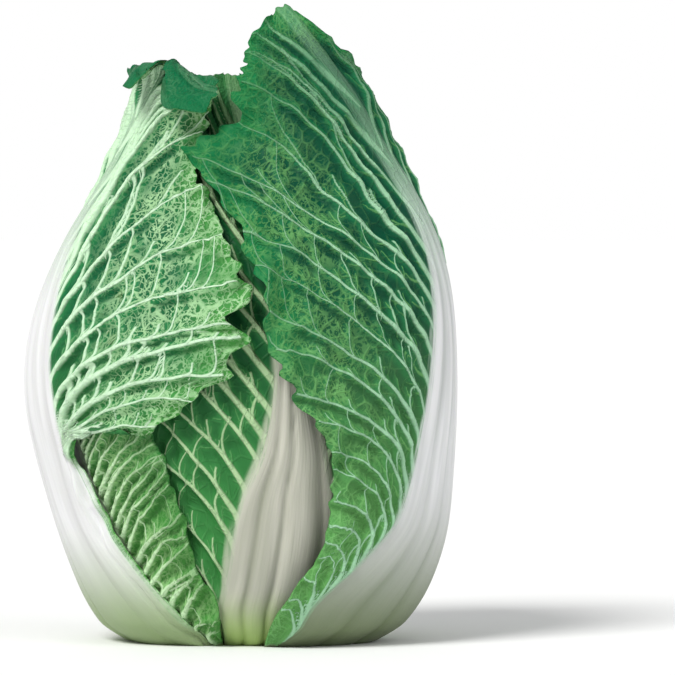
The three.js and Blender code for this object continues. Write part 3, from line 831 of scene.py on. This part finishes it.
def grow_leaf(leaf, name, node):
    """Makes one leaf as a closed slab with raised veins, sunken cells and a frilled margin."""
    leaf = {**LEAF_HABIT, **leaf, "length": leaf["rib"][-1][0]}
    chance = np.random.default_rng(leaf["seed"])
    sheet = trimmed_sheet(leaf)
    lines = zip(("vein", "limb", "twig"), vein_tree(leaf, sheet.widths, chance))
    threads = {title: vein_offsets(leaf, sheet.middle, found) for title, found in lines}
    threads["net"] = net_offsets(leaf, sheet.middle, chance)
    distance = {title: found[2] for title, found in threads.items()}

    across = sheet.across
    sheet.blade = smooth_step(sheet.out, 0, 0.12)
    sheet.bulge = np.where(np.abs(across) < 1, 1 - np.abs(across) ** 2.5, 0)
    # Where the rib's grooves run: the faces dip there and the material paints them darker as shade.
    phase = (across * leaf["section"]["ridges"] / 2 + 0.16 * np.sin(across * 4 + 1)
             + 0.04 * np.sin(sheet.height * 0.02 + across * 2))
    sheet.groove = np.abs(2 * (phase % 1) - 1)
    # How sunken each cell is between the veins: the faces sink by it and the material paints it dark as
    # shade.
    closest = np.minimum(np.minimum(distance["vein"] - 0.8, distance["limb"]), distance["twig"] + 0.8)
    sheet.deep = smooth_step(closest, 0.2, 3.4)
    # The hollows along the lower side of the main veins, where their shadow falls: they sink, and the
    # material paints them dark as shade.
    below = smooth_step(-threads["vein"][0][..., 2], 0.2, 1.2) * smooth_step(distance["vein"], 0.8, 1.8)
    patchy = smooth_step(ripple(sheet.middle, 34, leaf["seed"] + 6), -0.5, 0.2)
    sheet.hollow = below * (1 - smooth_step(distance["vein"], 3, 5.5)) * patchy * sheet.blade

    outer, inner = leaf_faces(leaf, sheet, distance)
    bm, row, column, is_inside = sheet_on_grid(*leaf["grid"], 2)
    move_to(bm, np.where(is_inside[:, None], inner[row, column], outer[row, column]))
    piece = piece_from(bm, name, leaf_material(name, {**LEAF_LOOK, **leaf["look"]}), node)
    mesh = piece.data
    for title, (vector, far, _) in threads.items():
        attach(mesh, title, vector[row, column])
        attach(mesh, title + "_far", far[row, column])
    for title, values in paint_masks(leaf, sheet).items():
        attach(mesh, title, values[row, column])
    attach(mesh, "inside", is_inside)

    foot_width = curve_through(leaf["rib"], sheet.height)[1][:1].mean()
    spread = np.stack([across * foot_width, sheet.height], -1)[row, column] * 0.01
    loops = np.empty(len(mesh.loops), np.int32)
    mesh.loops.foreach_get("vertex_index", loops)
    mesh.uv_layers.new(name="leaf").data.foreach_set("uv", spread[loops].astype(np.float32).ravel())


young_starts = np.arange(24, 235, 16)
outer_foot, heart_foot = OUTER_LAYER[0][1], HEART_LAYER[0][1]
for index in reversed(range(YOUNG_LEAVES)):
    depth = FIRST_YOUNG_DEPTH + index * YOUNG_LAYER
    foot_radius = outer_foot + (heart_foot - outer_foot) * depth / LEAF_ROOM
    leaf = {
        "seed": 40 + index, "grid": (84, 78), "depths": (depth, depth, depth), "ruffle": (0.6, 0.6),
        "section": YOUNG_SECTION, "look": YOUNG_LOOK, "vein_width": 0.9, "net_spacing": 4,
        "vein_starts": {-1: young_starts, 1: young_starts}, "crinkle": 0.8, "cell_depth": 0.7,
        **even_outline(FIRST_YOUNG_AZIMUTH + index * GOLDEN_ANGLE, layer_top(depth) * PAST_THE_TOP, 0,
                       HOOD_SPREAD, 1, HOOD_RIB_TAPER, foot_radius),
    }
    grow_leaf(leaf, f"young_blade_{index + 1}", f"young_leaf_{index + 1}")

# Back leaves
# Three wrapper leaves close the head at the back and the sides: two lighter ones underneath and a
# full green one over them, whose frilled top rolls outwards. They are grown as the young leaves are.
SPREAD = [
    (0, 37, 0), (0.05, 36, 0.07), (0.12, 40, 0.17), (0.21, 47, 0.28), (0.33, 56, 0.42),
    (0.46, 63, 0.57), (0.59, 64, 0.7), (0.72, 58, 0.82), (0.84, 45, 0.91), (0.94, 23, 0.98),
    (1, 8, 1.01),
]
RIB_TAPER = [(0, 33), (0.08, 39), (0.23, 37), (0.4, 30), (0.57, 16), (0.76, 8), (0.92, 4), (1, 3)]
OUTER_SECTION = {"rib_thickness": 6.2, "rib_bulge": 1.6, "ridges": 3, "ridge_height": 0.7}
MIDDLE_SECTION = {"rib_thickness": 5.5, "rib_bulge": 1.6, "ridges": 3, "ridge_height": 0.7}
MIDDLE_LOOK = {
    "cells": (0.06, 0.20, 0.04), "shade": (0.015, 0.11, 0.024), "veins": (0.48, 0.66, 0.33),
    "net": (0.26, 0.46, 0.18), "rib": (0.74, 0.76, 0.66), "groove": (0.50, 0.54, 0.40),
    "foot": (0.36, 0.46, 0.20), "margin": (0.06, 0.24, 0.04), "lace": 0.5,
}
BACK_LOOK = {
    "cells": (0.022, 0.16, 0.055), "shade": (0.004, 0.065, 0.028), "veins": (0.36, 0.62, 0.40),
    "net": (0.14, 0.36, 0.17), "rib": (0.76, 0.77, 0.77), "groove": (0.50, 0.53, 0.48),
    "foot": (0.22, 0.32, 0.14), "margin": (0.022, 0.18, 0.05), "lace": 0.6,
}
side_starts = np.arange(14, 250, 15)
middle_leaf = {
    "section": MIDDLE_SECTION, "look": MIDDLE_LOOK, "grid": (140, 124), "vein_width": 1.3,
    "vein_starts": {-1: side_starts, 1: side_starts}, "net_spacing": 5,
}
grow_leaf({**middle_leaf, "seed": 21, "depths": (13, 12.5, 17.5), "ruffle": (0.8, 0.4),
           **even_outline(-130, 258, -6, SPREAD, 0.95, RIB_TAPER, 0.8)},
          "blade_back_left", "leaf_back_left")
grow_leaf({**middle_leaf, "seed": 22, "depths": (18.5, 14.5, 19.8), "ruffle": (0.4, 0.8),
           **even_outline(134, 254, 6, SPREAD, 0.95, RIB_TAPER, 0.8)},
          "blade_back_right", "leaf_back_right")
grow_leaf({"seed": 23, "section": OUTER_SECTION, "look": BACK_LOOK, "grid": (172, 154),
           "vein_starts": {-1: side_starts, 1: side_starts}, "vein_width": 1.6,
           "depths": (1, 1, 1), "ruffle": (1.6, 1.6), "flare": (225, 262, 5), "roll": (252, 6),
           **even_outline(180, 276, 6, SPREAD, 1, RIB_TAPER, 1)},
          "blade_back", "leaf_back")

# Front leaf
# The leaf in the middle of the front. Its broad stalk has lengthwise ridges and shows beige between
# the other leaves, and its blade runs up behind them and curls out at the tip.
FRONT_LOOK = {
    "cells": (0.024, 0.16, 0.045), "shade": (0.004, 0.07, 0.022), "veins": (0.38, 0.56, 0.30),
    "net": (0.09, 0.28, 0.09), "rib": (0.54, 0.53, 0.46), "groove": (0.27, 0.28, 0.22),
    "foot": (0.32, 0.46, 0.13), "margin": (0.03, 0.18, 0.05), "lace": 0.4, "foot_height": 0.03,
    "low": (0.05, 0.25, 0.055),
}
grow_leaf({
    "seed": 31, "look": FRONT_LOOK, "grid": (184, 184), "depths": (15.5, 14.2, 14.5),
    "section": {"rib_thickness": 5.5, "rib_bulge": 1.6, "ridges": 3, "ridge_height": 1.0},
    "ruffle": (0.6, 0.4), "flare": (236, 268, 5), "vein_width": 0.95, "top_dim": 0.7,
    "margin_dim": 0.3, "stalk_fade": (0.5, 0.72), "arch": 2.1,
    "rise": [(0, 22), (60, 34), (150, 44), (220, 30), (270, 4)],
    "vein_starts": {-1: [14, 30, 47, 58, 70, 82, 92, 104, 117, 132, 148, 165, 182, 200, 218, 236],
                    1: np.arange(14, 250, 14)},
    "rib": [
        (0, 8, 19), (15, 7, 24), (27, 9, 25), (49, 12, 25), (67, 14, 22), (87, 17, 16), (117, 17, 9),
        (150, 15, 6.5), (190, 8, 5), (230, -2, 4), (268, -12, 3),
    ],
    "before": [
        (0, -26, 0), (12, -29, 20), (25, -38, 42), (45, -50, 72), (70, -60, 105), (100, -66, 145),
        (140, -64, 185), (180, -54, 215), (215, -44, 238), (245, -32, 258), (268, -19, 270),
    ],
    "after": [
        (0, 42, 0), (12, 45, 20), (25, 54, 42), (45, 66, 72), (70, 78, 105), (100, 86, 145),
        (140, 84, 185), (180, 68, 212), (215, 40, 232), (245, 6, 252), (268, -8, 268),
    ],
}, "blade_front", "leaf_front")

# Front left leaf
# A small leaf low at the front left. It is strongly pleated between close pale side veins, and its
# stalk shows along the left edge, under the large left leaf.
# Its margins are painted a darker green than its cells: painted shadow of the left leaf lying over them.
FRONT_LEFT_LOOK = {
    "cells": (0.035, 0.20, 0.05), "shade": (0.003, 0.095, 0.022), "veins": (0.52, 0.74, 0.44),
    "net": (0.33, 0.57, 0.24), "rib": (0.76, 0.76, 0.77), "groove": (0.52, 0.53, 0.54),
    "foot": (0.22, 0.34, 0.12), "margin": (0.01, 0.14, 0.035), "lace": 0.4, "net_strength": 0.4,
}
grow_leaf({
    "seed": 32, "look": FRONT_LEFT_LOOK, "grid": (190, 120), "depths": (13, 10.8, 9.8),
    "section": MIDDLE_SECTION, "ruffle": (0.4, 1.2), "vein_width": 1.1, "net_spacing": 4,
    "vein_height": 2.0, "rise": [(0, 3), (50, 5), (100, 5), (200, 1)], "arch": 2.4,
    # The pale veins near its margins are dimmed as part of the left leaf's painted shadow.
    "limb_length": 6, "link_gap": 13, "cell_depth": 1.8, "margin_dim": 0.6, "top_dim": 0,
    "lace_span": (-0.4, 0.1), "wander": 0.3,
    "vein_starts": {-1: np.arange(20, 190, 12), 1: np.arange(2, 190, 4.8)},
    "rib": [
        (0, -42, 18), (20, -54, 20), (44, -63, 18), (67, -69, 16), (91, -72, 13), (150, -68, 6),
        (200, -58, 3),
    ],
    "before": [
        (0, -64, 0), (20, -74, 22), (60, -84, 70), (100, -88, 118), (140, -84, 158), (170, -76, 186),
        (200, -62, 203),
    ],
    "after": [
        (0, -17, 0), (10, -14, 16), (17, -17, 27), (25, -21, 38), (34, -20, 52), (44, -22, 70),
        (56, -23, 85), (68, -26, 99), (85, -30, 118), (110, -34, 145), (140, -40, 170), (170, -47, 190),
        (200, -53, 203),
    ],
}, "blade_front_left", "leaf_front_left")

# Left leaf
# The large leaf on the left. Its pale veins fan out from a white stalk on the far left, its lower
# margin is a dense frill of pale lace, and its top rolls outwards into a dark smooth hood.
LEFT_LOOK = {
    "cells": (0.02, 0.21, 0.065), "shade": (0.003, 0.1, 0.034), "veins": (0.58, 0.80, 0.56),
    "net": (0.37, 0.61, 0.32), "rib": (0.76, 0.76, 0.77), "groove": (0.58, 0.58, 0.58),
    "foot": (0.22, 0.32, 0.12), "margin": (0.06, 0.27, 0.05), "lace": 0.72, "net_strength": 0.08,
    "twig_strength": 0.25,
}
grow_leaf({
    "seed": 33, "look": LEFT_LOOK, "grid": (220, 205), "depths": (10, 1, 5),
    "section": OUTER_SECTION, "ruffle": (1.2, 1.0), "vein_width": 1.5, "net_spacing": 5,
    "scallop": 0.07, "vein_height": 1.7, "cell_depth": 1.8, "lace_span": (0.05, 0.6),
    "link_width": 1.0, "arch": 2.7, "margin_dim": 0, "top_dim": 0.15, "white_below": (72, 98),
    "stalk_fade": (0.5, 0.78), "flare": (236, 275, 2), "roll": (262, 5.5),
    "notch": (-40, 4, 30, 230), "tuck": (4.5, 76, 100),
    "rise": [(0, 10), (50, 44), (94, 38), (120, 32), (139, 34), (150, 42), (158, 56), (168, 76),
             (185, 82), (210, 66), (240, 40), (270, 14), (298, 2)],
    "vein_starts": {-1: np.arange(20, 285, 14),
                    1: [54, 65, 76, 88, 100, 112, 125, 138, 150, 161, 172, 185, 200, 218, 240]},
    "rib": [
        (0, -67, 41), (20, -72, 45), (60, -81, 38), (100, -82, 36), (160, -78, 24), (209, -76, 12),
        (245, -64, 5), (272, -49, 4), (298, -34, 3),
    ],
    "before": [
        (0, -110, 0), (20, -110, 23), (60, -116, 68), (100, -132, 118), (137, -142, 162),
        (168, -146, 196), (202, -140, 222), (234, -122, 240), (256, -98, 256), (270, -78, 266),
        (284, -62, 278), (298, -54, 287),
    ],
    "after": [
        (0, -21, 0), (20, -32, 20), (44, -44, 44), (60, -50, 61), (78, -56, 80), (88, -58, 90),
        (94, -50, 101), (98, -38, 104), (103, -27, 99), (110, -17, 106), (118, -9, 116), (127, -2, 129),
        (139, 2, 145), (153, 1, 166), (168, -4, 187), (185, -12, 208), (203, -20, 226), (222, -22, 242),
        (242, -20, 258), (262, -15, 273), (281, -14, 287), (298, -18, 299),
    ],
}, "blade_left", "leaf_left")

# Right leaf
# The largest leaf. Its white stalk makes the right edge of the head, long side veins arch over its
# dark blade to the frilled front margin, and its pointed tip is the top of the head.
# The stalk's foot is painted nearly as dark as the blade: painted shade near the floor on a greener
# base.
RIGHT_LOOK = {
    "cells": (0.008, 0.14, 0.05), "shade": (0.0, 0.058, 0.027), "veins": (0.32, 0.57, 0.36),
    "net": (0.15, 0.39, 0.12), "rib": (0.82, 0.82, 0.83), "groove": (0.52, 0.54, 0.53),
    "foot": (0.11, 0.155, 0.05), "margin": (0.006, 0.18, 0.05), "lace": 0.75, "foot_height": 0.08,
    "low": (0.12, 0.34, 0.08),
}
grow_leaf({
    "seed": 34, "look": RIGHT_LOOK, "grid": (220, 205), "depths": (1, 1, 10),
    "section": OUTER_SECTION, "ruffle": (2.4, 1.2), "vein_width": 1.05, "link_gap": 15,
    "limb_length": 13, "scallop": 0.055, "lace_span": (0.2, 0.75), "margin_dim": 0.55,
    "top_dim": 0.65, "stalk_fade": (0.5, 0.8), "arch": 2.2, "dark_above": (90, 160),
    "rise": [(0, 10), (30, 24), (65, 36), (99, 42), (125, 42), (146, 44), (160, 58), (172, 74),
             (185, 78), (210, 62), (240, 45), (297, 2)],
    "vein_starts": {-1: [4, 9, 14, 19, 25, 31, 38, 45, 53, 62, 72, 83, 95, 108, 121, 135, 147, 158,
                         170, 186, 208, 236, 264],
                    1: np.arange(20, 260, 16)},
    "flare": (225, 262, 3.5),
    "rib": [
        (0, 56, 44), (20, 62, 57), (40, 70, 53), (60, 77, 46), (100, 80, 38), (160, 77, 20),
        (209, 70, 10), (235, 61, 6), (260, 49, 5), (280, 36, 4), (297, 27, 3),
    ],
    "before": [
        (0, 6, 0), (10, 8, 13), (22, 12, 26), (38, 19, 41), (55, 24, 62), (72, 25, 80), (90, 22, 100),
        (108, 14, 120), (125, 8, 143), (142, 3, 168), (158, -6, 195), (172, -14, 212), (184, -26, 226),
        (194, -27, 234), (206, -14, 245), (222, -7, 254), (240, -5, 265), (258, -3, 275), (275, 1, 284),
        (288, 9, 290), (297, 19, 295),
    ],
    "after": [
        (0, 104, 0), (22, 106, 26), (55, 111, 64), (90, 126, 108), (125, 142, 150), (160, 150, 190),
        (196, 148, 220), (232, 130, 240), (256, 106, 254), (271, 88, 264), (282, 60, 275),
        (290, 44, 285), (297, 36, 293),
    ],
}, "blade_right", "leaf_right")

# Studio
# The head stands on a plain pale floor without an edge, under a soft light from the upper left, a
# weaker one from the right and an even white surround.
FLOOR_SIZE = 40
FLOOR_COLOUR = (0.93, 0.93, 0.93, 1)
SURROUND_LIGHT = 0.5
SURROUND_WHITE = 1.0
CAMERA_DISTANCE = 3.0
CAMERA_RISE = 0.06
FRAME_WIDTH = 0.3205
FRAME_CENTRE = Vector((0.04, 0, 0.1434))
SENSOR = 36


def aim(thing, target):
    thing.rotation_euler = (target - thing.location).to_track_quat("-Z", "Y").to_euler()


def soft_sun(name, location, strength, spread, tint):
    lamp = bpy.data.lights.new(name, "SUN")
    lamp.energy = strength
    lamp.angle = math.radians(spread)
    lamp.color = tint
    thing = bpy.data.objects.new(name, lamp)
    thing.location = location
    bpy.context.scene.collection.objects.link(thing)
    aim(thing, Vector((0, 0, 0.15)))


floor_material, start, shader = new_material("pale_floor")
shader["Base Color"].default_value = FLOOR_COLOUR
shader["Roughness"].default_value = 0.9
bm = bmesh.new()
bmesh.ops.create_grid(bm, x_segments=1, y_segments=1, size=FLOOR_SIZE)
floor_mesh = bpy.data.meshes.new("floor")
bm.to_mesh(floor_mesh)
bm.free()
floor_mesh.materials.append(floor_material)
floor = bpy.data.objects.new("floor", floor_mesh)
bpy.context.scene.collection.objects.link(floor)

soft_sun("key", (-0.9, -1.3, 1.7), 2.7, 22, (1, 1, 0.98))
soft_sun("fill", (1.3, -0.8, 0.8), 0.5, 50, (0.94, 0.97, 1))
world = bpy.data.worlds.new("surround")
world.use_nodes = True
surround = Wire(world.node_tree)
seen = surround.node("ShaderNodeLightPath", {}, out="Is Camera Ray")
background = world.node_tree.nodes["Background"].inputs
background["Color"].default_value = (1, 1, 1, 1)
join(seen * (SURROUND_WHITE - SURROUND_LIGHT) + SURROUND_LIGHT, background["Strength"])
bpy.context.scene.world = world
bpy.context.scene.view_settings.view_transform = "Standard"

lens = bpy.data.cameras.new("camera")
lens.sensor_width = SENSOR
lens.lens = SENSOR * CAMERA_DISTANCE / FRAME_WIDTH
camera = bpy.data.objects.new("camera", lens)
camera.location = (FRAME_CENTRE.x, -CAMERA_DISTANCE, FRAME_CENTRE.z + CAMERA_RISE)
bpy.context.scene.collection.objects.link(camera)
aim(camera, FRAME_CENTRE)
bpy.context.scene.camera = camera
